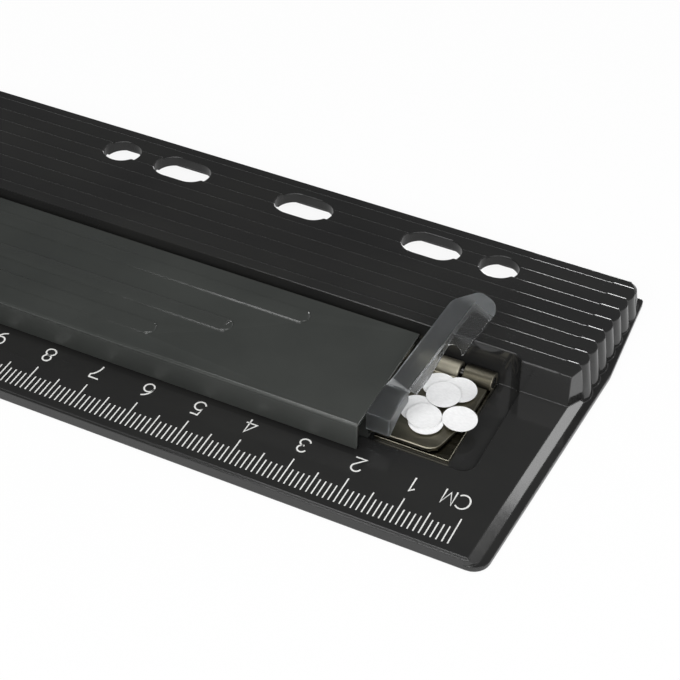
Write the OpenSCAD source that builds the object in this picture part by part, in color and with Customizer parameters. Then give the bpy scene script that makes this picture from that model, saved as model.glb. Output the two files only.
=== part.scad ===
// Flat ring-binder hole punch with a ruler shelf, hinged press cover and an end gate for the chips.
// X runs along the length, +Y towards the ring holes, +Z up. The origin is under the middle of the base.

/* [Base] */
// Overall length over the widest part of the foot flange
base_len = 293.2; // [284:0.2:310]
// Overall depth over the foot flange
base_depth = 73.8; // [72.4:0.2:77]
// Height of the ruler shelf
ruler_h = 2.5; // [2.4:0.1:3]
// Depth of the ruler shelf, from its front edge to the recess
ruler_w = 17.3; // [16:0.1:19]
// Thickness of the foot flange
flange_t = 0.9; // [0.6:0.1:1.2]
// Width of the foot flange at the ends
flange_w = 1.35; // [1:0.05:1.6]
// Width of the sloped face at the ends of the ruler shelf
bevel_w = 1.5; // [1:0.1:1.8]
// Angle by which the ends widen towards the back
end_flare = 3; // [0:0.5:4]
// Angle by which the ends narrow behind their widest point
end_taper = 3.5; // [0:0.5:4]
// Floor thickness under the steel plates
recess_floor = 1.4; // [1.2:0.1:1.6]
// Wall thickness of the hollow rear strip
wall_t = 2.1; // [1.6:0.1:2.4]

/* [Rear steps] */
// Height of the rear strip at its front edge
rear_h = 9.3; // [9:0.1:10.5]
// Number of steps down to the back edge
step_count = 8; // [6:1:9]
// Drop from one tread to the next
step_drop = 0.5; // [0.35:0.05:0.55]

/* [Ring holes] */
// Spacing of neighbouring round ring holes
ring_pitch = 80; // [78:1:82]
// Diameter of the round holes and width of the slots
hole_d = 7.6; // [7:0.1:8]
// End-to-end length of a slot
slot_len = 11.8; // [10:0.1:12]
// Distance from the back of the flange to the hole centres
hole_edge = 9.4; // [9:0.1:10.5]

/* [Steel plates] */
// Sheet thickness
sheet_t = 0.8; // [0.6:0.1:0.9]
// Outer radius of the rolled knuckles
knuckle_r = 1.85; // [1.8:0.05:2]
// Diameter of the hinge wire
wire_d = 2; // [1.8:0.1:2]
// Gap between the plates when the cover is down
plate_gap = 0.4; // [0.3:0.1:0.5]

/* [Punches] */
// Spacing of the punch pins
punch_pitch = 108; // [100:1:112]
// Diameter of a punch pin and of a paper chip
punch_d = 6; // [5.5:0.1:6.5]
// Distance from the edge of the paper to the hole centres
paper_margin = 12; // [11:0.5:13]

/* [Cover] */
// Height of the cover's top face above the table
cover_top = 8.8; // [8.5:0.1:9.2]
// Wall thickness of the cover
cover_t = 0.9; // [0.8:0.1:1.1]
// Overhang of the cover in front of the plates
cover_lip = 5.3; // [4.5:0.1:6]
// Height of the raised finger ribs
grip_h = 0.35; // [0.2:0.05:0.5]

/* [Gate] */
// Thickness of the soft gate strip
gate_t = 0.6; // [0.5:0.1:0.8]
// Angle by which the leaf stands open
gate_open = 45.9; // [40:0.1:50]
// Length of the leaf from its crease to the tip
gate_len = 20.9; // [19:0.1:22]

/* [Hidden] */
$fn = 64;

// Base outline
half_l = base_len / 2;
half_d = base_depth / 2;
front_y = -half_d;
back_flange = 0.9;
back_y = half_d - back_flange;
front_r = 3;
kink_r = 6;
back_r = 1;

// Recess for the plates, with its back wall cut into the riser
recess_inset = 12.2;
recess_depth = 23.3;
recess_r = 2.4;
recess_half = half_l - recess_inset;
recess_front = front_y + ruler_w;
recess_back = recess_front + recess_depth;
riser_set = 1.3;
riser_y = recess_back - riser_set;

// The ends are widest a little way behind the riser
flare_back = 12.5;
flare_y = riser_y + flare_back;
function end_x(y, inset) =
  half_l - inset - (y < flare_y ? (flare_y - y) * tan(end_flare) : (y - flare_y) * tan(end_taper));

// Ruler shelf: its front wall ends in a low ledge under the top face
shelf_r = 2.2;
ledge_h = 0.35;
ledge_w = 0.27;

// Treads of the rear strip
last_tread = 2.7;
tread = (back_y - last_tread - riser_y) / step_count;
edge_c = 0.3;
edge_dip = 0.08;
function edge_y(k) = riser_y + tread * (k + 1);
function tread_z(k) = rear_h - step_drop * k;

// The shelf runs on under the first tread
shelf_back = edge_y(0);

// Each tread ends in a pillar that widens towards the flange
pillar_inset = 4.6;
pillar_x = half_l - pillar_inset;
pillar_r = 3.6;
pillar_slope = 0.16;
corner_r = 2.4;
strip_reach = 0.8;
slant_w = 1.2;
function pillar_top(k) = pillar_r - pillar_slope * tread_z(k);

// Stiffening ribs under the rear strip stand between the ring holes
rib_t = 1;
rib_x = [13, 30.3, 60.1, 68, 93, 113, 131];
slot_x = [53.5, 80, 106.5];
hole_y = half_d - hole_edge;

// Hinge line
hinge_clear = 0.3;
axis_y = recess_back - knuckle_r - hinge_clear;
axis_z = recess_floor + knuckle_r;
bore_r = wire_d / 2 + 0.05;
moving_gap = 0.4;

// Lower plate
plate_half = recess_half - 4.5;
plate_front = recess_front + 1.4;
plate_top = recess_floor + sheet_t;
notch_front = plate_front + 2.5;
notch_gap = 0.7;
knuckle_end = 5.4;
mid_knuckle = 63;
mid_knuckle_w = 6;
slit_w = 0.6;
stud_d = 3;
stud_sink = 0.5;
stud_y = axis_y - 8.5;
stud_x = [25, 75, 117];
tenon_d = 4;

// Upper plate, whose ends narrow towards the front
upper_half = plate_half - 0.4;
upper_z = plate_top + plate_gap;
upper_top = upper_z + sheet_t;
upper_r = 2.5;
taper_w = 2.2;
taper_len = 10;
taper_r = 8;
die_gap = 0.3;

// The paper stops at the fixed knuckles, so the pins stand one margin in front of them
punch_y = axis_y - knuckle_r - paper_margin;
punch_top = upper_top + 0.15;

// Cover
cover_front = plate_front - cover_lip;
cover_back = axis_y + 0.4;
cover_bottom = ruler_h + 0.8;
cover_set_left = 9;
cover_set_right = 14.3;
cover_left = -plate_half + cover_set_left;
cover_right = plate_half - cover_set_right;
cover_under = cover_top - cover_t;

// Finger ribs of the cover: distance of each from its front, and of each end from the gate
grip_w = 3;
grip_at = [20, 12, 5.5];
grip_short = [18.8, 29.8, 41.3];

// Gate: the strip is flush with the cover, and the crease lies at the pivot
gate_gap = 0.35;
gate_axis = [0.89, 0.01, -0.45];
pivot_x = 2.4;
pivot_y = 11.7;
pivot = [cover_right + pivot_x, cover_front + pivot_y, cover_top - gate_t / 2];
strip_left = -pivot_x + gate_gap;
strip_right = 1.9;
strip_set = 3.5;
gate_right = pivot.x + strip_right;
head_right = 5.5;
head_len = 10.4;
head_y = gate_len - head_len;
tip_x = 1.2;
tip_cut = 4;
tip_r = 2.2;
finger_r = 1.9;
leaf_start = 0.55;
bead_r = gate_t / 2;
bead_gap = 0.05;
neck_w = 0.4;
neck_y = 0.1;
skirt_t = 0.5;
skirt_h = 3.2;
skirt_full = 4;
skirt_low = 0.9 * gate_t;
skirt_end = gate_len - 3;
tongue_w = 4.4;
tongue_t = 0.3;

// Paper chips: distance from the heap's end and from the hinge line, and layer in the heap
chip_t = 0.12;
chip_gap = 0.02;
chip_at = [[8, 5.2, 0], [4.4, 4.9, 1], [6.3, 7.5, 2], [9.2, 12.1, 0], [6.5, 14.5, 1], [7.2, 13.7, 2], [1.5, 11.7, 2]];
// The heap ends with the plate, clear of the last pin
heap_w = max([for (c = chip_at) c[0]]);
heap_end = max(plate_half, punch_pitch + punch_d + chip_gap + heap_w);

// Points of an arc that rounds the corner b between a and c
function corner(a, b, c, r) = r == 0 ? [b] :
  let (u = (a - b) / norm(a - b), v = (c - b) / norm(c - b), half = acos(u * v) / 2,
       centre = b + (u + v) / norm(u + v) * r / sin(half), first = b + u * r / tan(half) - centre,
       last = b + v * r / tan(half) - centre, start = atan2(first.y, first.x),
       turn = atan2(cross(first, last), first * last), steps = max(2, ceil(abs(turn) / 15)))
  [for (i = [0 : steps]) centre + r * [cos(start + turn * i / steps), sin(start + turn * i / steps)]];

// An outline from [x, y, corner radius] points
function rounded(points) = [for (i = [0 : len(points) - 1])
  let (n = len(points), a = points[(i + n - 1) % n], b = points[i], c = points[(i + 1) % n])
  each corner([a.x, a.y], [b.x, b.y], [c.x, c.y], b.z)];

// A prism along X from a list of [y, z] points
module run_x(x0, x1, points) {
  translate([x0, 0, 0]) rotate([90, 0, 90]) linear_extrude(x1 - x0) polygon(points);
}

// A box between two corners
module box(low, high) {
  translate(low) cube(high - low);
}

// A round bar or bore along X on the hinge line
module hinge_rod(x0, x1, r) {
  translate([x0, axis_y, axis_z]) rotate([0, 90, 0]) cylinder(h = x1 - x0, r = r);
}

// A block with rounded upright corners
module rounded_block(low, high, r) {
  box([low.x + r, low.y, low.z], [high.x - r, high.y, high.z]);
  box([low.x, low.y + r, low.z], [high.x, high.y - r, high.z]);
  for (x = [low.x + r, high.x - r], y = [low.y + r, high.y - r])
    translate([x, y, low.z]) cylinder(h = high.z - low.z, r = r);
}

// An upright bar with round ends, long along X
module stadium(x0, x1, y, z0, z1, w) {
  box([x0 + w / 2, y - w / 2, z0], [x1 - w / 2, y + w / 2, z1]);
  for (x = [x0 + w / 2, x1 - w / 2]) translate([x, y, z0]) cylinder(h = z1 - z0, d = w);
}

// Outline of the stepped rear strip, highest at the front, with eased edges
function rear_profile() = concat(
  [[riser_y, 0], [riser_y, rear_h - edge_c], [riser_y + edge_dip, rear_h - edge_dip], [riser_y + edge_c, rear_h]],
  [for (k = [0 : step_count - 1], p = [[edge_y(k) - edge_c, tread_z(k)], [edge_y(k) - edge_dip, tread_z(k) - edge_dip],
                                       [edge_y(k), tread_z(k) - edge_c], [edge_y(k), tread_z(k + 1)]]) p],
  [[back_y - 2 * edge_c, tread_z(step_count)], [back_y, tread_z(step_count) - 2 * edge_c], [back_y, 0]]);

// Outline of the hollow under the rear strip, one wall thickness below the treads
cavity_y0 = recess_back + wall_t;
cavity_shift = 0.6 * wall_t;
back_wall = 0.7;
first_step = len([for (k = [0 : step_count - 1]) if (edge_y(k) - cavity_shift < cavity_y0 + 0.3) k]);
function cavity_profile() = concat(
  [[cavity_y0, -1], [cavity_y0, tread_z(first_step) - wall_t]],
  [for (k = [first_step : step_count - 1], p = [[edge_y(k) - cavity_shift, tread_z(k) - wall_t],
                                               [edge_y(k) - cavity_shift, tread_z(k + 1) - wall_t]]) p],
  [[back_y - back_wall, tread_z(step_count) - wall_t], [back_y - back_wall, -1]]);

module ring_holes() {
  for (s = [-1, 1], x = [ring_pitch / 2, 1.5 * ring_pitch])
    translate([s * x, hole_y, -1]) cylinder(h = rear_h + 2, d = hole_d);
  for (x = concat([0], slot_x, -slot_x))
    stadium(x - slot_len / 2, x + slot_len / 2, hole_y, -1, rear_h + 1, hole_d);
}

module rear_hollow() {
  cuts = concat(rib_x, [pillar_x - rib_t]);
  run_x(-cuts[0] + rib_t / 2, cuts[0] - rib_t / 2, cavity_profile());
  for (i = [0 : len(cuts) - 2]) {
    run_x(cuts[i] + rib_t / 2, cuts[i + 1] - rib_t / 2, cavity_profile());
    run_x(-cuts[i + 1] + rib_t / 2, -cuts[i] - rib_t / 2, cavity_profile());
  }
}

// A pillar at one end of the strip, kept between two step edges
module pillar(s, y, y0, y1, k) {
  intersection() {
    translate([s * pillar_x, y, 0]) cylinder(h = tread_z(k), r1 = pillar_r, r2 = pillar_top(k));
    box([-half_l, y0, -1], [half_l, y1, rear_h + 1]);
  }
}

// Round rear corner of the strip, eased like its back edge
module rear_corner() {
  z = tread_z(step_count);
  ease = 2 * edge_c;
  cylinder(h = z - ease, r1 = corner_r + pillar_slope * (z - ease), r2 = corner_r);
  translate([0, 0, z - ease]) cylinder(h = ease, r1 = corner_r, r2 = corner_r - ease);
}

module rear_strip() {
  strip_x = pillar_x + strip_reach;
  run_x(-strip_x, strip_x, rear_profile());
  for (s = [-1, 1]) {
    for (k = [1 : step_count - 1]) pillar(s, edge_y(k) - tread / 2, edge_y(k - 1), edge_y(k), k);
    intersection() {
      translate([s * pillar_x, back_y - corner_r, 0]) rear_corner();
      box([-half_l, edge_y(step_count - 1), -1], [half_l, back_y, rear_h]);
    }
  }
  // The first tread ends in a slanted face that runs down into the sloped end of the ruler shelf
  riser_x = end_x(riser_y, flange_w + bevel_w);
  slant_x = riser_x + slant_w;
  intersection() {
    linear_extrude(rear_h) polygon([[-riser_x, riser_y], [riser_x, riser_y], [slant_x, edge_y(0)], [-slant_x, edge_y(0)]]);
    for (s = [-1, 1]) pillar(s, edge_y(0) - tread / 2, riser_y, edge_y(0), 0);
  }
}

// Ruler shelf with sloped ends; at the top its front steps back over the ledge
module ruler_shelf() {
  slope = atan(bevel_w / (ruler_h - flange_t));
  difference() {
    for (layer = [[0, ruler_h - ledge_h, 0], [0, ruler_h, ledge_w]]) {
      y = front_y + layer[2];
      x = end_x(y, flange_w);
      x_back = end_x(shelf_back, flange_w);
      translate([0, 0, layer[0]]) linear_extrude(layer[1] - layer[0])
        polygon(rounded([[-x, y, shelf_r], [x, y, shelf_r], [x_back, shelf_back, 0], [-x_back, shelf_back, 0]]));
    }
    for (s = [0, 1]) mirror([s, 0, 0]) translate([end_x(0, flange_w), 0, flange_t])
      rotate([0, 0, -end_flare]) rotate([0, -slope, 0])
        box([0, -2 * half_d, -flange_t], [2 * ruler_h, 2 * half_d, 2 * ruler_h]);
  }
}

// Foot flange, widest behind the riser
module flange() {
  x0 = end_x(front_y, 0);
  x1 = end_x(half_d, 0);
  linear_extrude(flange_t)
    polygon(rounded([[-x0, front_y, front_r], [x0, front_y, front_r], [half_l, flare_y, kink_r], [x1, half_d, back_r],
                     [-x1, half_d, back_r], [-half_l, flare_y, kink_r]]));
}

module base() {
  color([0.05, 0.05, 0.06]) {
    difference() {
      union() {
        flange();
        ruler_shelf();
        rear_strip();
      }
      rounded_block([-recess_half, recess_front, recess_floor], [recess_half, recess_back, rear_h + 1], recess_r);
      // Groove under the turning knuckles
      box([-plate_half, axis_y - knuckle_r - moving_gap, recess_floor - hinge_clear],
          [plate_half, recess_back, recess_floor + 1]);
      ring_holes();
      rear_hollow();
    }
    for (s = [-1, 1], x = stud_x)
      translate([s * x, stud_y, recess_floor - stud_sink]) cylinder(h = sheet_t + stud_sink, d = stud_d);
  }
}

// Spans of the hinge line that the fixed plate holds, from right to left
fixed_spans = [[plate_half - knuckle_end, plate_half], [mid_knuckle - mid_knuckle_w / 2, mid_knuckle + mid_knuckle_w / 2],
               [-mid_knuckle - mid_knuckle_w / 2, -mid_knuckle + mid_knuckle_w / 2],
               [-plate_half, -plate_half + knuckle_end]];
// Spans between them, which turn with the cover
span_gap = 0.8;
moving_spans = [for (i = [0 : len(fixed_spans) - 2]) [fixed_spans[i + 1][1] + span_gap, fixed_spans[i][0] - span_gap]];

module lower_plate() {
  roll_front = axis_y - knuckle_r - moving_gap;
  color([0.5, 0.48, 0.44]) difference() {
    union() {
      box([-plate_half, notch_front, recess_floor], [plate_half, roll_front, plate_top]);
      box([cover_right + notch_gap, plate_front, recess_floor], [plate_half, notch_front + 1, plate_top]);
      box([-plate_half, plate_front, recess_floor], [cover_left - notch_gap, notch_front + 1, plate_top]);
      for (span = fixed_spans) {
        hinge_rod(span[0], span[1], knuckle_r);
        box([span[0], roll_front - 1, recess_floor], [span[1], axis_y, plate_top]);
      }
    }
    hinge_rod(-plate_half - 1, plate_half + 1, wire_d / 2);
    for (span = fixed_spans)
      box([span[0] - 1, axis_y - knuckle_r - 1, plate_top], [span[1] + 1, axis_y - wire_d / 2 + 0.4, plate_top + slit_w]);
    for (s = [-1, 1], x = stud_x) translate([s * x, stud_y, 0]) cylinder(h = ruler_h + 1, d = stud_d);
    for (x = [-punch_pitch, 0, punch_pitch]) translate([x, punch_y, 0]) cylinder(h = ruler_h + 1, d = tenon_d);
  }
}

module upper_plate() {
  back = axis_y - knuckle_r - moving_gap;
  taper_y = plate_front + taper_len;
  front_half = upper_half - taper_w;
  color([0.6, 0.58, 0.53]) difference() {
    union() {
      translate([0, 0, upper_z]) linear_extrude(sheet_t)
        polygon(rounded([[-upper_half, back, 0], [-upper_half, taper_y, taper_r], [-front_half, plate_front, upper_r],
                         [front_half, plate_front, upper_r], [upper_half, taper_y, taper_r], [upper_half, back, 0]]));
      for (span = moving_spans) {
        hinge_rod(span[0], span[1], knuckle_r);
        box([span[0], back - 1, upper_z], [span[1], axis_y - bore_r - 0.2, upper_top]);
      }
    }
    hinge_rod(-plate_half, plate_half, bore_r);
    for (span = moving_spans)
      box([span[0] - 0.1, axis_y - knuckle_r - 1, upper_z - slit_w], [span[1] + 0.1, axis_y - 0.5, upper_z]);
    for (x = [-punch_pitch, 0, punch_pitch])
      translate([x, punch_y, upper_z - 1]) cylinder(h = sheet_t + 2, d = punch_d + 2 * die_gap);
  }
}

module hinge_pin() {
  color([0.7, 0.7, 0.7]) hinge_rod(-plate_half, plate_half, wire_d / 2);
}

// A riveted pin with a dished tip, so that its rim cuts
module punch(x) {
  color([0.75, 0.75, 0.76]) translate([x, punch_y, 0]) difference() {
    union() {
      translate([0, 0, recess_floor]) cylinder(h = sheet_t, d = tenon_d);
      translate([0, 0, plate_top]) cylinder(h = punch_top - plate_top, d = punch_d);
    }
    translate([0, 0, punch_top - 0.5]) cylinder(h = 0.51, d1 = 0.6, d2 = punch_d - 0.3);
  }
}

module punch_left() {
  punch(-punch_pitch);
}

module punch_middle() {
  punch(0);
}

module punch_right() {
  punch(punch_pitch);
}

module cover() {
  rib_front = recess_front + 0.4;
  rib_back = plate_front + 0.8;
  lip_back = notch_front - 0.7;
  saddle_front = axis_y - 1.3;
  color([0.25, 0.25, 0.25, 0.6]) difference() {
    union() {
      // Top and front wall
      run_x(cover_left, cover_right, [[cover_front, cover_bottom], [cover_front + cover_t, cover_bottom],
                                      [cover_front + cover_t, cover_under], [cover_back, cover_under],
                                      [cover_back, cover_top - 0.4], [cover_back - 0.4, cover_top],
                                      [cover_front + 0.5, cover_top], [cover_front, cover_top - 0.5]]);
      // Inner rib, grooved to clip on the front edge of the upper plate
      run_x(cover_left, cover_right, [[rib_front, upper_z - 0.6], [lip_back, upper_z - 0.6], [lip_back, upper_z],
                                      [plate_front, upper_z], [plate_front, upper_top], [rib_back, upper_top],
                                      [rib_back, cover_under + 0.2], [rib_front, cover_under + 0.2]]);
      // Rear rib, saddled over the rolled hinge
      box([cover_left, saddle_front, axis_z + 1.3], [cover_right, cover_back, cover_under + 0.2]);
      // Closed left end of the chip chamber
      box([cover_left, rib_back - 0.1, upper_top], [cover_left + 1.2, axis_y, cover_under + 0.2]);
      for (i = [0 : 2])
        stadium(-cover_right + grip_short[i], cover_right - grip_short[i], cover_front + grip_at[i],
                cover_top - 0.2, cover_top + grip_h, grip_w);
    }
    hinge_rod(cover_left - 1, cover_right + 1, knuckle_r);
    for (s = [-1, 1])
      hinge_rod(s * mid_knuckle - mid_knuckle_w / 2 - span_gap, s * mid_knuckle + mid_knuckle_w / 2 + span_gap,
                knuckle_r + moving_gap);
  }
}

module gate_root() {
  crease = pivot.y - 0.75;
  strip_front = cover_front + strip_set;
  tongue_front = plate_front + 0.9;
  color([0.7, 0.7, 0.7, 0.5]) {
    difference() {
      union() {
        box([cover_right, strip_front, cover_top - gate_t], [gate_right, crease, cover_top]);
        // Step down to the tongue under the cover
        box([cover_right, tongue_front, cover_under - tongue_t], [cover_right + 0.6, crease, cover_top - gate_t / 2]);
        box([cover_right - tongue_w, tongue_front, cover_under - tongue_t], [cover_right + 0.6, crease, cover_under]);
        box([cover_right - tongue_w, tongue_front, cover_under - tongue_t], [cover_right - 0.4, axis_y - 1.5, cover_under]);
        // Front wall of the strip
        box([cover_right, strip_front, cover_top - gate_t - skirt_h],
            [gate_right, strip_front + skirt_t, cover_top - gate_t / 2]);
        // Boss with the socket of the living hinge
        box([pivot.x - 1, crease - 0.5, cover_top - gate_t], [pivot.x + 1, pivot.y - 0.1, cover_top]);
        // Skirt along the end of the chamber, deepest at its front
        run_x(gate_right - skirt_t, gate_right, [[strip_front, cover_top - gate_t / 2], [crease, cover_top - gate_t / 2],
                                                 [crease, cover_top - gate_t - skirt_h / 2],
                                                 [crease - 3, cover_top - gate_t - skirt_h / 2],
                                                 [strip_front + skirt_t, cover_top - gate_t - skirt_h],
                                                 [strip_front, cover_top - gate_t - skirt_h]]);
      }
      translate(pivot) sphere(r = bead_r + bead_gap);
    }
  }
}

// The leaf lies in its own XY plane with the crease at the origin, then swings open
module gate_leaf() {
  color([0.75, 0.75, 0.76, 0.5]) translate(pivot) rotate(a = gate_open, v = gate_axis) {
    difference() {
      union() {
        translate([0, 0, -gate_t / 2]) linear_extrude(gate_t)
          polygon(rounded([[strip_left, leaf_start, 0], [strip_right, leaf_start, 0], [strip_right, head_y, 0],
                           [head_right, head_y, 0.4], [head_right, gate_len, tip_r], [tip_x, gate_len, tip_r],
                           [strip_left, gate_len - tip_cut, tip_r]]));
        // Skirt that shuts the end of the chamber, lower towards the tip
        translate([strip_right - skirt_t, 0, 0]) rotate([90, 0, 90]) linear_extrude(skirt_t)
          polygon([[leaf_start, 0], [leaf_start, -skirt_h], [skirt_full, -skirt_h], [head_y + 2, -skirt_low],
                   [skirt_end, -skirt_low], [skirt_end, 0]]);
        // Bead and neck of the crease
        box([-neck_w / 2, neck_y, -bead_r / 2], [neck_w / 2, leaf_start + 0.1, bead_r / 2]);
        sphere(r = bead_r);
      }
      // Finger notch in the side of the head
      translate([strip_right + finger_r, head_y - 1.1, -gate_t]) cylinder(h = 2 * gate_t, r = finger_r);
    }
  }
}

module paper_chips() {
  color([0.96, 0.96, 0.95]) for (c = chip_at)
    translate([heap_end - c[0], axis_y - c[1], upper_top + c[2] * (chip_t + chip_gap)])
      cylinder(h = chip_t, d = punch_d);
}

base();
lower_plate();
upper_plate();
hinge_pin();
punch_left();
punch_middle();
punch_right();
cover();
gate_root();
gate_leaf();
paper_chips();
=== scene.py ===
"""Looks of a flat ring-binder punch: finishes, rounded edges, gate crease, chips, ruler print and studio."""

import math

import bmesh
import bpy
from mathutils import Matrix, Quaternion, Vector


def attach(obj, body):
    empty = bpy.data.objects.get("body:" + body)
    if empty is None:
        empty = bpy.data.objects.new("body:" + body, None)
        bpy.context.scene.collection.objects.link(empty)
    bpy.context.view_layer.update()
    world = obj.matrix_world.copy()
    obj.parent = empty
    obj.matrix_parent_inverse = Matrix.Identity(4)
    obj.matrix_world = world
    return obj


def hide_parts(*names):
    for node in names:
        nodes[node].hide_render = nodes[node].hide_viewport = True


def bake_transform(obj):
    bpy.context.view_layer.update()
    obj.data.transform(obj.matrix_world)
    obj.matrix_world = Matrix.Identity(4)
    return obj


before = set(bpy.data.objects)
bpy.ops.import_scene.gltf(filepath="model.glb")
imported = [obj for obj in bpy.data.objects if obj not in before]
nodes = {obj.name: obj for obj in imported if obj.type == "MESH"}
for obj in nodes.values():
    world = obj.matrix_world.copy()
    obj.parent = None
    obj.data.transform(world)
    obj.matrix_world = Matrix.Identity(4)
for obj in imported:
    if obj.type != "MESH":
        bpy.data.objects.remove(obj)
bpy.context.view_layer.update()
MM = 0.001


# Camera, at the photograph's viewing angle

CAMERA_AT = Vector((201.97, -210.50, 212.96)) * MM
CAMERA_TARGET = Vector((100.91, 0.37, 2.5)) * MM
CAMERA_ROLL = math.radians(0.60)
CAMERA_LENS = 93.95
CAMERA_SENSOR = 36
CAMERA_CLIP = (0.01, 20)


def add_camera():
    data = bpy.data.cameras.new("camera")
    data.lens = CAMERA_LENS
    data.sensor_width = CAMERA_SENSOR
    data.clip_start, data.clip_end = CAMERA_CLIP
    camera = bpy.data.objects.new("camera", data)
    bpy.context.scene.collection.objects.link(camera)
    camera.location = CAMERA_AT
    aim = (CAMERA_TARGET - CAMERA_AT).to_track_quat("-Z", "Y")
    camera.rotation_mode = "QUATERNION"
    camera.rotation_quaternion = aim @ Quaternion((0, 0, 1), CAMERA_ROLL)
    bpy.context.scene.camera = camera


# Finishes

EDGE_SAMPLES = 8
UP = (0, 0, 1)
RIGHT = (1, 0, 0)
FORWARD = (0, -1, 0)


class Finish:
    """A procedural material: one principled shader and the texture nodes that drive it."""

    def __init__(self, name, **settings):
        self.material = bpy.data.materials.new(name)
        self.material.use_nodes = True
        self.tree = self.material.node_tree
        self.shader = self.tree.nodes["Principled BSDF"]
        for socket, value in settings.items():
            self.shader.inputs[socket.replace("_", " ")].default_value = value
        self.place = self.tree.nodes.new("ShaderNodeTexCoord").outputs["Object"]

    def link(self, output, node, socket):
        self.tree.links.new(output, node.inputs[socket])

    def noise(self, scale, stretch=(1, 1, 1), detail=3.0, rough=0.55, offset=0.0):
        """A noise factor; scale is in features per metre, stretch squeezes the axes."""
        mapping = self.tree.nodes.new("ShaderNodeMapping")
        mapping.inputs["Scale"].default_value = stretch
        mapping.inputs["Location"].default_value = (offset, offset, offset)
        self.link(self.place, mapping, "Vector")
        noise = self.tree.nodes.new("ShaderNodeTexNoise")
        noise.inputs["Scale"].default_value = scale
        noise.inputs["Detail"].default_value = detail
        noise.inputs["Roughness"].default_value = rough
        self.link(mapping.outputs["Vector"], noise, "Vector")
        return noise.outputs["Fac"]

    def along(self, direction):
        """The distance along a direction from the frame's origin, in metres."""
        node = self.tree.nodes.new("ShaderNodeVectorMath")
        node.operation = "DOT_PRODUCT"
        node.inputs[1].default_value = direction
        self.link(self.place, node, 0)
        return node.outputs["Value"]

    def spread(self, factor, low, high, start=0.3, end=0.7):
        """The factor's middle stretch as a value from low to high."""
        node = self.tree.nodes.new("ShaderNodeMapRange")
        node.inputs["From Min"].default_value = start
        node.inputs["From Max"].default_value = end
        node.inputs["To Min"].default_value = low
        node.inputs["To Max"].default_value = high
        self.link(factor, node, "Value")
        return node.outputs["Result"]

    def join(self, operation, first, second):
        node = self.tree.nodes.new("ShaderNodeMath")
        node.operation = operation
        self.link(first, node, 0)
        self.link(second, node, 1)
        return node.outputs["Value"]

    def larger(self, first, second):
        return self.join("MAXIMUM", first, second)

    def plus(self, first, second):
        return self.join("ADD", first, second)

    def colours(self, factor, low, high, start=0.3, end=0.7):
        """The factor's middle stretch as a colour from low to high."""
        node = self.tree.nodes.new("ShaderNodeValToRGB")
        first, last = node.color_ramp.elements
        first.position = start
        first.color = (*low, 1)
        last.position = end
        last.color = (*high, 1)
        self.link(factor, node, "Fac")
        return node.outputs["Color"]

    def drive(self, socket, output):
        self.link(output, self.shader, socket)

    def bump(self, height, depth, edge=0.0):
        """A relief of that depth in metres; an edge radius makes the edges look rounded."""
        node = self.tree.nodes.new("ShaderNodeBump")
        node.inputs["Distance"].default_value = depth
        self.link(height, node, "Height")
        if edge:
            soft = self.tree.nodes.new("ShaderNodeBevel")
            soft.samples = EDGE_SAMPLES
            soft.inputs["Radius"].default_value = edge
            self.link(soft.outputs["Normal"], node, "Normal")
        self.drive("Normal", node.outputs["Normal"])


PLASTIC_IOR = 1.5
SOFT_IOR = 1.46


def black_plastic():
    """Glossy black moulding with faint handling marks."""
    black = (0.0165, 0.0165, 0.0165)
    handled = (0.023, 0.023, 0.022)
    finish = Finish("black_plastic", IOR=PLASTIC_IOR)
    haze = finish.noise(60, stretch=(0.5, 1, 1), detail=4)
    finish.drive("Base Color", finish.colours(haze, black, handled))
    smudge = finish.noise(140, detail=5, offset=3.0)
    finish.drive("Roughness", finish.spread(smudge, 0.05, 0.13))
    finish.bump(finish.noise(700, detail=2), depth=0.0015 * MM, edge=0.36 * MM)
    return finish.material


# Cover: its open end, the length over which painted light makes it lighter, its top and the depth of its
# glossy edge
COVER_END = 115.6 * MM
COVER_PAINTED_LIGHT = 110 * MM
COVER_TOP = 8.8 * MM
COVER_EDGE = 0.4 * MM


def smoky_plastic():
    """Dark smoky moulding with painted light that makes it lighter towards its open end; glossy on top and
    satin below.
    """
    smoke = (0.030, 0.033, 0.031)
    smoke_painted_lit = (0.066, 0.070, 0.065)
    finish = Finish("smoky_plastic", IOR=PLASTIC_IOR, Transmission_Weight=0.2)
    # Painted light: the colour grows lighter along the length towards the open end; the noise adds random
    # tone on top
    end = finish.spread(finish.along(RIGHT), 0.0, 0.6, COVER_END - COVER_PAINTED_LIGHT, COVER_END)
    cloud = finish.plus(end, finish.spread(finish.noise(45, detail=4), 0.0, 0.4))
    finish.drive("Base Color", finish.colours(cloud, smoke, smoke_painted_lit, 0, 1))
    edge_start = COVER_TOP - 2 * COVER_EDGE
    satin = finish.spread(finish.along(UP), 0.2, 0.0, edge_start, edge_start + COVER_EDGE)
    gloss = finish.spread(finish.noise(160, detail=5, offset=1.0), 0.10, 0.17)
    finish.drive("Roughness", finish.plus(gloss, satin))
    finish.bump(finish.noise(700, detail=2), depth=0.002 * MM, edge=0.12 * MM)
    return finish.material


# Axis of the gate's crease, and how far the leaf stands open
GATE_PIVOT = Vector((118.0, -11.8, 8.5)) * MM
GATE_TURN = Quaternion((0.89, 0.01, -0.45), math.radians(45.9))
# Where the gate's frost ends across it, where its crease and tip are white, and how much light gets through
FROST_START = 1.2 * MM
FROST_END = 2.4 * MM
CREASE_WHITE = 0.9 * MM
TIP_START = 17.6 * MM
TIP_END = 19.0 * MM
TIP_VEIL = 2.6
CLEAR_THROUGH = 0.985
TIP_THROUGH = 0.841


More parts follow.
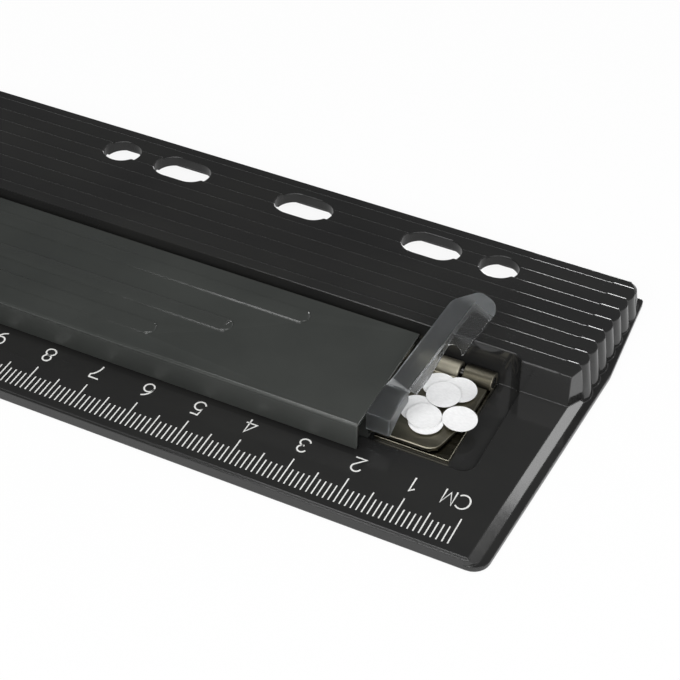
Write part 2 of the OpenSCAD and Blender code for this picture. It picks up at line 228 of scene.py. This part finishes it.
def soft_plastic(name, turn):
    """Soft clear plastic: frosted along the strip, clear at the head and whitened where it was bent."""
    clear = (0.80, 0.81, 0.81)
    frosted = (0.38, 0.40, 0.41)
    finish = Finish(name, IOR=SOFT_IOR)
    across = turn @ Vector((1, 0, 0))
    down = turn @ Vector((0, 1, 0))
    middle = across.dot(GATE_PIVOT)
    crease = down.dot(GATE_PIVOT)
    frost = finish.spread(finish.along(across), 1, 0, middle + FROST_START, middle + FROST_END)
    reach = finish.along(down)
    after = finish.spread(reach, 1, 0, crease + CREASE_WHITE / 2, crease + CREASE_WHITE)
    tip = finish.spread(reach, 0, 1, crease + TIP_START, crease + TIP_END)
    veil = finish.spread(tip, 0, TIP_VEIL, 0, 1)
    haze = finish.larger(finish.larger(frost, tip), after)
    cloud = finish.spread(finish.noise(260, detail=4), -0.15, 0.15)
    finish.drive("Base Color", finish.colours(finish.plus(haze, cloud), clear, frosted, 0, 1))
    loss = finish.plus(haze, veil)
    through = finish.spread(loss, CLEAR_THROUGH, TIP_THROUGH, 0, 1 + TIP_VEIL)
    finish.drive("Transmission Weight", through)
    finish.drive("Roughness", finish.spread(haze, 0.03, 0.30, 0, 1))
    finish.bump(finish.noise(900, detail=3), depth=0.006 * MM, edge=0.08 * MM)
    return finish.material


# Steel plates: their front edge, the width of the painted highlight along their edges, and how far above the
# flat the rolls, which carry painted sheen, begin
PLATE_FRONT = 18.2 * MM
PAINTED_EDGE_HIGHLIGHT = 0.16 * MM
ROLL_START = 0.1 * MM
ROLL_END = 0.4 * MM
ROLL_WEAR = 0.18
STREAK = 0.3
GRAIN_ROUGH = 0.14


def plated_sheet(name, end, top, roll_painted_sheen, dark_tone, bright, rough):
    """Nickel-plated sheet: its flat darkened with painted shade and dark reflection, with painted highlights
    along its front and end edges and painted sheen on its rolls.
    """
    finish = Finish(name, Metallic=1.0)
    grain = finish.noise(500, stretch=(0.06, 1, 1), detail=4)
    # Painted highlights along the end and front edges and painted sheen on the rolls; the grain streaks are
    # the sheet's own
    end_edge = finish.spread(finish.along(RIGHT), 0, 1, end - PAINTED_EDGE_HIGHLIGHT, end)
    front_edge = finish.spread(finish.along(FORWARD), 0, 1, PLATE_FRONT - PAINTED_EDGE_HIGHLIGHT, PLATE_FRONT)
    roll_sheen_and_wear = finish.spread(finish.along(UP), 0, roll_painted_sheen, top + ROLL_START, top + ROLL_END)
    painted_highlight = finish.larger(finish.larger(end_edge, front_edge), roll_sheen_and_wear)
    streak = finish.spread(grain, -STREAK, STREAK)
    finish.drive("Base Color", finish.colours(finish.plus(painted_highlight, streak), dark_tone, bright, 0, 1))
    worn = finish.spread(roll_sheen_and_wear, 0, ROLL_WEAR, 0, roll_painted_sheen)
    finish.drive("Roughness", finish.plus(finish.spread(grain, rough, rough + GRAIN_ROUGH), worn))
    finish.bump(finish.noise(1500, stretch=(0.05, 1, 1), detail=2), depth=0.006 * MM)
    return finish.material


STEEL_TINT = (1, 0.97, 0.92)
STEEL_GLINT = 1.3


def bare_steel(name, stretch, shade):
    """Drawn or turned steel; stretch follows the tool marks."""
    finish = Finish(name, Metallic=1.0)
    grain = finish.noise(900, stretch=stretch, detail=3)
    dark_tone = tuple(part * shade for part in STEEL_TINT)
    bright = tuple(STEEL_GLINT * part for part in dark_tone)
    finish.drive("Base Color", finish.colours(grain, dark_tone, bright))
    finish.drive("Roughness", finish.spread(grain, 0.18, 0.34))
    return finish.material


def paper():
    """White copy paper with a fine fibre relief."""
    shaded = (0.84, 0.84, 0.84)
    white = (0.93, 0.93, 0.93)
    finish = Finish("paper", Roughness=0.85)
    fibre = finish.noise(1800, stretch=(1, 1.6, 1), detail=6)
    finish.drive("Base Color", finish.colours(fibre, shaded, white))
    finish.bump(fibre, depth=0.03 * MM)
    return finish.material


def ink():
    """White printing ink, slightly uneven."""
    thin = (0.68, 0.68, 0.66)
    full = (0.84, 0.84, 0.82)
    finish = Finish("ink", Roughness=0.6)
    patches = finish.noise(2500, detail=3)
    finish.drive("Base Color", finish.colours(patches, thin, full))
    return finish.material


# Edge rounding: distance that joins points, angles of joined faces and of rounded edges, and corners to split
WELD = 0.005 * MM
FLAT_ANGLE = math.radians(1)
SHARP_ANGLE = math.radians(25)
NGON = 5
FULL_WEIGHT = 100


def round_edges(name, radius, segments=3, group=None):
    """Rounds a node's sharp edges, or those of a vertex group; the radius is in millimetres."""
    node = nodes[name]
    weld = node.modifiers.new("weld", "WELD")
    weld.merge_threshold = WELD
    if not group:
        flat = node.modifiers.new("flat", "DECIMATE")
        flat.decimate_type = "DISSOLVE"
        flat.angle_limit = FLAT_ANGLE
        split = node.modifiers.new("split", "TRIANGULATE")
        split.min_vertices = NGON
    bevel = node.modifiers.new("round", "BEVEL")
    bevel.width = radius * MM
    bevel.segments = segments
    bevel.use_clamp_overlap = False
    if group:
        bevel.limit_method = "VGROUP"
        bevel.vertex_group = group
    else:
        bevel.limit_method = "ANGLE"
        bevel.angle_limit = SHARP_ANGLE
    even = node.modifiers.new("even", "WEIGHTED_NORMAL")
    even.weight = FULL_WEIGHT


def cover_rim():
    """The cover's vertices on the top, front and gate-end edges, as a vertex group."""
    node = nodes["cover"]
    places = [vertex.co for vertex in node.data.vertices]
    front = min(place.y for place in places)
    end = max(place.x for place in places)
    near = 0.01 * MM
    rim = []
    for index, place in enumerate(places):
        offsets = (place.z - COVER_TOP, place.y - front, place.x - end)
        if sum(abs(offset) < near for offset in offsets) > 1:
            rim.append(index)
    group = node.vertex_groups.new(name="rim")
    group.add(rim, 1.0, "REPLACE")
    return group.name


def dress(name, finish):
    """Gives a node its finish in place of the plain one."""
    node = nodes[name]
    node.data.materials.clear()
    node.data.materials.append(finish)


def dress_nodes():
    dress("base", black_plastic())
    dress("cover", smoky_plastic())
    round_edges("cover", radius=0.2, segments=5, group=cover_rim())
    # The plates' dark tones are painted shade and dark reflection; their bright tones are painted highlights
    dress("lower_plate", plated_sheet("lower_sheet", end=129.9 * MM, top=2.2 * MM, roll_painted_sheen=0.1,
                                      dark_tone=(0.07, 0.064, 0.047), bright=(0.40, 0.375, 0.30), rough=0.20))
    round_edges("lower_plate", radius=0.12)
    dress("upper_plate", plated_sheet("upper_sheet", end=129.5 * MM, top=3.4 * MM, roll_painted_sheen=0.5,
                                      dark_tone=(0.23, 0.215, 0.165), bright=(0.46, 0.43, 0.35), rough=0.28))
    round_edges("upper_plate", radius=0.2)
    # The hinge pin's dark tone is partly the steel's own and partly painted shade of the gap between the
    # knuckles
    dress("hinge_pin", bare_steel("steel_wire", stretch=(0.1, 1, 1), shade=0.05))
    pin = bare_steel("steel_pin", stretch=(1, 1, 0.1), shade=0.36)
    for side in ("left", "middle", "right"):
        dress("punch_" + side, pin)
    dress("gate_root", soft_plastic("soft_root", Quaternion()))
    dress("gate_leaf", soft_plastic("soft_leaf", GATE_TURN))


def mesh_piece(name, shape, finish):
    """A bmesh in millimetres as a named piece."""
    bmesh.ops.scale(shape, vec=(MM, MM, MM), verts=shape.verts)
    bmesh.ops.recalc_face_normals(shape, faces=shape.faces)
    data = bpy.data.meshes.new(name)
    shape.to_mesh(data)
    shape.free()
    data.materials.append(finish)
    piece = bpy.data.objects.new(name, data)
    bpy.context.scene.collection.objects.link(piece)
    return piece


# Crease of the gate, in millimetres: a web, whitened by bending, that joins the cover's strip to the leaf

STRIP_END = -12.55
STRIP_SPAN = (115.65, 119.88)
LEAF_START = 0.55
LEAF_SPAN = (-2.03, 1.88)
WEB_T = 0.5
WEB_LAP = 0.05
WEB_ROWS = 8
WEB_COLUMNS = 6


def whitened_plastic():
    """Soft plastic, milky where it has been bent."""
    dim = (0.50, 0.52, 0.53)
    milky = (0.72, 0.74, 0.75)
    finish = Finish("soft_crease", IOR=SOFT_IOR, Transmission_Weight=0.85)
    cloud = finish.noise(700, detail=4)
    finish.drive("Base Color", finish.colours(cloud, dim, milky))
    finish.drive("Roughness", finish.spread(cloud, 0.28, 0.42))
    return finish.material


def web_point(row, column, side):
    """A point of the bent web; side is -1 for its underside and 1 for its top."""
    pivot = GATE_PIVOT / MM
    across = column / WEB_COLUMNS
    ahead = row / WEB_ROWS
    strip_x, leaf_x = (low + (high - low) * across for low, high in (STRIP_SPAN, LEAF_SPAN))
    strip = Vector((strip_x, STRIP_END - WEB_LAP, pivot.z + side * WEB_T / 2))
    leaf = pivot + GATE_TURN @ Vector((leaf_x, LEAF_START + WEB_LAP, side * WEB_T / 2))
    lead = Vector((0, LEAF_START, 0))
    bend = (strip + leaf + lead - GATE_TURN @ lead) / 2
    return (1 - ahead) ** 2 * strip + 2 * ahead * (1 - ahead) * bend + ahead ** 2 * leaf


def web_sheet(shape, side):
    """The underside or the top of the web, as rows of points."""
    sheet = []
    for row in range(WEB_ROWS + 1):
        sheet.append([shape.verts.new(web_point(row, column, side)) for column in range(WEB_COLUMNS + 1)])
    return sheet


def sheet_rim(sheet):
    """The points round the border of a sheet, in order."""
    right = [row[-1] for row in sheet[1:]]
    left = [row[0] for row in sheet[-2:0:-1]]
    return sheet[0] + right + sheet[-1][-2::-1] + left


def gate_crease():
    shape = bmesh.new()
    sheets = [web_sheet(shape, side) for side in (-1, 1)]
    for sheet in sheets:
        for near, far in zip(sheet, sheet[1:]):
            for k in range(WEB_COLUMNS):
                shape.faces.new((near[k], near[k + 1], far[k + 1], far[k]))
    under, over = (sheet_rim(sheet) for sheet in sheets)
    for k in range(len(under)):
        shape.faces.new((under[k - 1], under[k], over[k], over[k - 1]))
    piece = mesh_piece("gate_crease", shape, whitened_plastic())
    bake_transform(piece)


# Paper chips: each chip is dished by the pin, and lies a little askew; in millimetres

CHIP_RADIUS = 3.0
CHIP_T = 0.1
CHIP_RINGS = 7
CHIP_SPOKES = 48
LAYER_LIFT = 0.3
HEAP_STEP = 0.14
CHIP_JOIN = 0.002
# Direction of the lift in degrees, rise across the chip and dish, from the outermost chip inwards
CHIP_LIE = [(200, 0.15, 0.10), (150, 0.15, 0.10), (80, 0.22, 0.06), (60, 0.10, 0.08), (290, 0.15, 0.12),
            (160, 0.25, 0.12), (140, 0.35, 0.14)]


def chip_places():
    """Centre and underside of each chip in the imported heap, in millimetres, from the outermost inwards."""
    shape = bmesh.new()
    shape.from_mesh(nodes["paper_chips"].data)
    bmesh.ops.remove_doubles(shape, verts=shape.verts, dist=CHIP_JOIN * MM)
    left = set(shape.verts)
    places = []
    while left:
        found = {left.pop()}
        edge = list(found)
        while edge:
            near = {e.other_vert(v) for v in edge for e in v.link_edges} & left
            left -= near
            found |= near
            edge = list(near)
        spans = [[v.co[axis] / MM for v in found] for axis in range(3)]
        x, y = ((min(span) + max(span)) / 2 for span in spans[:2])
        places.append((x, y, min(spans[2])))
    shape.free()
    return sorted(places, reverse=True)


def add_chip(shape, centre, lie):
    """A thin disc with a dish and a tilt, resting on its lowest point."""
    turn, rise, dish = lie
    toward = Vector((math.cos(math.radians(turn)), math.sin(math.radians(turn))))

    def point(ring, spoke, side):
        r = ring / CHIP_RINGS
        angle = 2 * math.pi * spoke / CHIP_SPOKES
        flat = Vector((math.cos(angle), math.sin(angle))) * r
        lift = dish * r ** 3 + rise * (flat.dot(toward) + 1) / 2
        x, y = flat * CHIP_RADIUS
        return centre[0] + x, centre[1] + y, centre[2] + lift + side * CHIP_T

    sheets = []
    for side in (0, 1):
        middle = shape.verts.new(point(0, 0, side))
        rings = []
        for i in range(1, CHIP_RINGS + 1):
            rings.append([shape.verts.new(point(i, k, side)) for k in range(CHIP_SPOKES)])
        for k in range(CHIP_SPOKES):
            j = (k + 1) % CHIP_SPOKES
            shape.faces.new((middle, rings[0][k], rings[0][j]))
            for inner, outer in zip(rings, rings[1:]):
                shape.faces.new((inner[k], outer[k], outer[j], inner[j]))
        sheets.append(rings[-1])
    for k in range(CHIP_SPOKES):
        j = (k + 1) % CHIP_SPOKES
        shape.faces.new((sheets[0][k], sheets[0][j], sheets[1][j], sheets[1][k]))


def paper_chips():
    shape = bmesh.new()
    places = chip_places()
    floor = min(z for x, y, z in places)
    for (x, y, z), lie in zip(places, CHIP_LIE):
        layer = round((z - floor) / HEAP_STEP)
        add_chip(shape, (x, y, floor + layer * LAYER_LIFT), lie)
    piece = mesh_piece("loose_chips", shape, paper())
    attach(piece, "lever")
    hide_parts("paper_chips")


# Ruler print: the scale is read from the front edge, with its zero at the gate end; in millimetres

RULER_ZERO = 137.0
RULER_LENGTH = 270
LABEL_STEP = 10
RULER_EDGE = -35.1
TICK_WIDTH = 0.23
TICK_LENGTHS = {10: 5.75, 5: 4.75, 1: 3.5}
INK_T = 0.02
LABEL_Y = -25.9
LABEL_HEIGHT = 3.1
LABEL_STROKE = 0.29
LABEL_GAP = 0.6
UNIT_X = 134.7
RULER_TOP = 2.5


def add_slab(shape, outline, low, high):
    """A flat closed slab from an outline of (x, y) points."""
    bottom = [shape.verts.new((x, y, low)) for x, y in outline]
    top = [shape.verts.new((x, y, high)) for x, y in outline]
    shape.faces.new(bottom)
    shape.faces.new(top)
    for i in range(len(outline)):
        j = (i + 1) % len(outline)
        shape.faces.new((bottom[i], bottom[j], top[j], top[i]))


def tick_length(k):
    return next(TICK_LENGTHS[step] for step in TICK_LENGTHS if k % step == 0)


def ruler_ticks(finish):
    shape = bmesh.new()
    half = TICK_WIDTH / 2
    for k in range(RULER_LENGTH + 1):
        x = RULER_ZERO - k
        far = RULER_EDGE + tick_length(k)
        outline = [(x - half, RULER_EDGE), (x + half, RULER_EDGE), (x + half, far), (x - half, far)]
        add_slab(shape, outline, RULER_TOP, RULER_TOP + INK_T)
    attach(mesh_piece("ruler_ticks", shape, finish), "base")


ELLIPSE_STEPS = 28


def arc(centre, radii, start, end, steps=14):
    """Points on an ellipse from one angle to another, in degrees, anticlockwise from +x."""
    turns = [math.radians(start + (end - start) * i / steps) for i in range(steps + 1)]
    return [(centre[0] + radii[0] * math.cos(a), centre[1] + radii[1] * math.sin(a)) for a in turns]


def ellipse(centre, radii):
    """A closed ellipse."""
    return arc(centre, radii, 0, 360, ELLIPSE_STEPS)


# Each character is a list of pen strokes in a cell 0.6 wide and 1 high
GLYPHS = {
    "0": [ellipse((0.3, 0.5), (0.3, 0.5))],
    "1": [[(-0.02, 0.8), (0.2, 1.0), (0.2, 0.0)]],
    "2": [arc((0.3, 0.71), (0.28, 0.29), 165, -35) + [(0.0, 0.0), (0.6, 0.0)]],
    "3": [arc((0.3, 0.75), (0.25, 0.25), 160, -90) + arc((0.3, 0.26), (0.29, 0.26), 90, -160)],
    "4": [[(0.46, 0.0), (0.46, 1.0), (0.0, 0.28), (0.62, 0.28)]],
    "5": [[(0.54, 1.0), (0.12, 1.0), (0.06, 0.52)] + arc((0.28, 0.32), (0.31, 0.32), 130, -155)],
    "6": [ellipse((0.3, 0.31), (0.29, 0.31)), arc((0.62, 0.31), (0.61, 0.69), 180, 105)],
    "7": [[(0.02, 1.0), (0.58, 1.0)] + arc((0.9, 0.0), (0.68, 0.86), 115, 180)],
    "8": [ellipse((0.3, 0.76), (0.24, 0.24)), ellipse((0.3, 0.26), (0.29, 0.26))],
    "9": [ellipse((0.3, 0.69), (0.29, 0.31)), arc((-0.02, 0.69), (0.61, 0.69), 0, -75)],
    "C": [arc((0.42, 0.5), (0.40, 0.5), 50, 310, 22)],
    "M": [[(0.0, 0.0), (0.0, 1.0), (0.3, 0.14), (0.6, 1.0), (0.6, 0.0)]],
}
GLYPH_WIDTHS = {"C": 0.7, "M": 0.6, "1": 0.32}
GLYPH_WIDTH = 0.6
SAME_POINT = 1e-6
MITRE_LIMIT = 0.6
STROKE_CAP = 0.25


def add_stroke(shape, points, width, low, high):
    """A ribbon along a polyline, mitred at its corners."""
    closed = math.dist(points[0], points[-1]) < SAME_POINT
    path = [Vector(p) for p in (points[:-1] if closed else points)]
    count = len(path)
    left = []
    right = []
    for i, point in enumerate(path):
        before = path[i - 1] if i > 0 or closed else None
        after = path[(i + 1) % count] if i < count - 1 or closed else None
        into = (point - before).normalized() if before else (after - point).normalized()
        out = (after - point).normalized() if after else into
        along = (into + out).normalized()
        side = Vector((-along.y, along.x)) * (width / 2) / max(MITRE_LIMIT, along.dot(out))
        cap = Vector((0, 0))
        if not before:
            cap = -out * width * STROKE_CAP
        elif not after:
            cap = into * width * STROKE_CAP
        left.append(point + side + cap)
        right.append(point - side + cap)
    for i in range(count if closed else count - 1):
        j = (i + 1) % count
        add_slab(shape, [left[i], right[i], right[j], left[j]], low, high)


def add_label(shape, text, x, y):
    """Characters centred on a point, turned half round to face the ruler's front edge."""
    gap = LABEL_GAP / LABEL_HEIGHT
    widths = [GLYPH_WIDTHS.get(c, GLYPH_WIDTH) for c in text]
    start = -(sum(widths) + gap * (len(text) - 1)) / 2
    for character, width in zip(text, widths):
        for stroke in GLYPHS[character]:
            placed = [(x - (start + px) * LABEL_HEIGHT, y - (py - 0.5) * LABEL_HEIGHT) for px, py in stroke]
            add_stroke(shape, placed, LABEL_STROKE, RULER_TOP, RULER_TOP + INK_T)
        start += width + gap


def ruler_labels(finish):
    shape = bmesh.new()
    for cm in range(1, RULER_LENGTH // LABEL_STEP + 1):
        add_label(shape, str(cm), RULER_ZERO - LABEL_STEP * cm, LABEL_Y)
    add_label(shape, "CM", UNIT_X, LABEL_Y)
    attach(mesh_piece("ruler_labels", shape, finish), "base")


# Studio

FLOOR_HALF = 4.0
FLOOR_WHITE = 0.9
FLOOR_DROP = 0.0001
LIT_END = Vector((140, -10, 0)) * MM
# Share of the floor's plain white that each kind of ray sees, in place of its shading
FLOOR_GLOW = {"Is Camera Ray": 0.92, "Is Transmission Ray": 0.92, "Is Glossy Ray": 0.4}


def floor_glow(tree):
    """The share for a ray: the largest of its kinds, and 0 for rays that only carry light."""
    path = tree.nodes.new("ShaderNodeLightPath")
    widest = None
    for kind, share in FLOOR_GLOW.items():
        part = tree.nodes.new("ShaderNodeMath")
        part.operation = "MULTIPLY"
        part.inputs[1].default_value = share
        tree.links.new(path.outputs[kind], part.inputs[0])
        if widest:
            both = tree.nodes.new("ShaderNodeMath")
            both.operation = "MAXIMUM"
            tree.links.new(widest, both.inputs[0])
            tree.links.new(part.outputs["Value"], both.inputs[1])
            part = both
        widest = part.outputs["Value"]
    return widest


def add_floor():
    bpy.ops.mesh.primitive_plane_add(size=2 * FLOOR_HALF, location=(0, 0, -FLOOR_DROP))
    floor = bpy.context.object
    floor.name = "floor"
    finish = bpy.data.materials.new("floor")
    finish.use_nodes = True
    tree = finish.node_tree
    tree.nodes.remove(tree.nodes["Principled BSDF"])
    plain = tree.nodes.new("ShaderNodeBsdfDiffuse")
    plain.inputs["Color"].default_value = (FLOOR_WHITE, FLOOR_WHITE, FLOOR_WHITE, 1)
    glow = tree.nodes.new("ShaderNodeEmission")
    mix = tree.nodes.new("ShaderNodeMixShader")
    tree.links.new(floor_glow(tree), mix.inputs["Fac"])
    tree.links.new(plain.outputs["BSDF"], mix.inputs[1])
    tree.links.new(glow.outputs["Emission"], mix.inputs[2])
    tree.links.new(mix.outputs["Shader"], tree.nodes["Material Output"].inputs["Surface"])
    floor.data.materials.append(finish)


# Sky: height and colour from the horizon up, and its strength towards the left (-x) and the right
SKY_LOW = (0.0, (0.95, 0.95, 0.95, 1))
SKY_MIDDLE = (0.22, (0.55, 0.55, 0.55, 1))
SKY_HIGH = (0.6, (0.30, 0.305, 0.31, 1))
SKY_LEFT = -0.35
SKY_RIGHT = 0.25
SKY_LEFT_STRENGTH = 0.25


def add_world():
    """Bright at the right-hand horizon, dim overhead and to the left, so that flat black tops stay dark."""
    world = bpy.data.worlds.new("studio")
    bpy.context.scene.world = world
    world.use_nodes = True
    tree = world.node_tree
    background = tree.nodes["Background"]
    place = tree.nodes.new("ShaderNodeTexCoord")
    split = tree.nodes.new("ShaderNodeSeparateXYZ")
    tree.links.new(place.outputs["Generated"], split.inputs["Vector"])
    ramp = tree.nodes.new("ShaderNodeValToRGB")
    stops = ramp.color_ramp.elements
    stops[0].position, stops[0].color = SKY_LOW
    stops[1].position, stops[1].color = SKY_HIGH
    stops.new(SKY_MIDDLE[0]).color = SKY_MIDDLE[1]
    tree.links.new(split.outputs["Z"], ramp.inputs["Fac"])
    path = tree.nodes.new("ShaderNodeLightPath")
    white = tree.nodes.new("ShaderNodeMix")
    white.data_type = "RGBA"
    tree.links.new(path.outputs["Is Camera Ray"], white.inputs["Factor"])
    tree.links.new(ramp.outputs["Color"], white.inputs["A"])
    white.inputs["B"].default_value = (1, 1, 1, 1)
    tree.links.new(white.outputs["Result"], background.inputs["Color"])
    side = tree.nodes.new("ShaderNodeMapRange")
    side.inputs["From Min"].default_value = SKY_LEFT
    side.inputs["From Max"].default_value = SKY_RIGHT
    side.inputs["To Min"].default_value = SKY_LEFT_STRENGTH
    tree.links.new(split.outputs["X"], side.inputs["Value"])
    strength = tree.nodes.new("ShaderNodeMath")
    strength.operation = "MAXIMUM"
    tree.links.new(side.outputs["Result"], strength.inputs[0])
    tree.links.new(path.outputs["Is Camera Ray"], strength.inputs[1])
    tree.links.new(strength.outputs["Value"], background.inputs["Strength"])


def add_softbox(name, direction, distance, width, height, watts):
    """A rectangular lamp that looks at the object's visible end."""
    data = bpy.data.lights.new(name, "AREA")
    data.shape = "RECTANGLE"
    data.size = width
    data.size_y = height
    data.energy = watts
    lamp = bpy.data.objects.new(name, data)
    bpy.context.scene.collection.objects.link(lamp)
    away = Vector(direction).normalized()
    lamp.location = LIT_END + away * distance
    lamp.rotation_mode = "QUATERNION"
    lamp.rotation_quaternion = away.to_track_quat("Z", "Y")
    lamp.visible_camera = False


def add_studio():
    add_floor()
    add_world()
    add_softbox("key", (-0.25, 0.08, 0.96), distance=1.0, width=0.35, height=0.35, watts=2.3)
    add_softbox("fill", (0.12, -0.76, 0.64), distance=1.0, width=1.1, height=0.5, watts=8.2)
    add_softbox("side", (0.55, -0.35, 0.76), distance=0.6, width=0.3, height=0.3, watts=0.8)
    add_softbox("end", (0.745, 0.640, 0.19), distance=1.0, width=0.13, height=0.28, watts=0.5)
    add_softbox("back", (-0.139, 0.990, 0.09), distance=1.0, width=0.21, height=0.25, watts=1.6)


add_camera()
dress_nodes()
gate_crease()
paper_chips()
white_ink = ink()
ruler_ticks(white_ink)
ruler_labels(white_ink)
add_studio()
bpy.context.scene.view_settings.view_transform = "Standard"
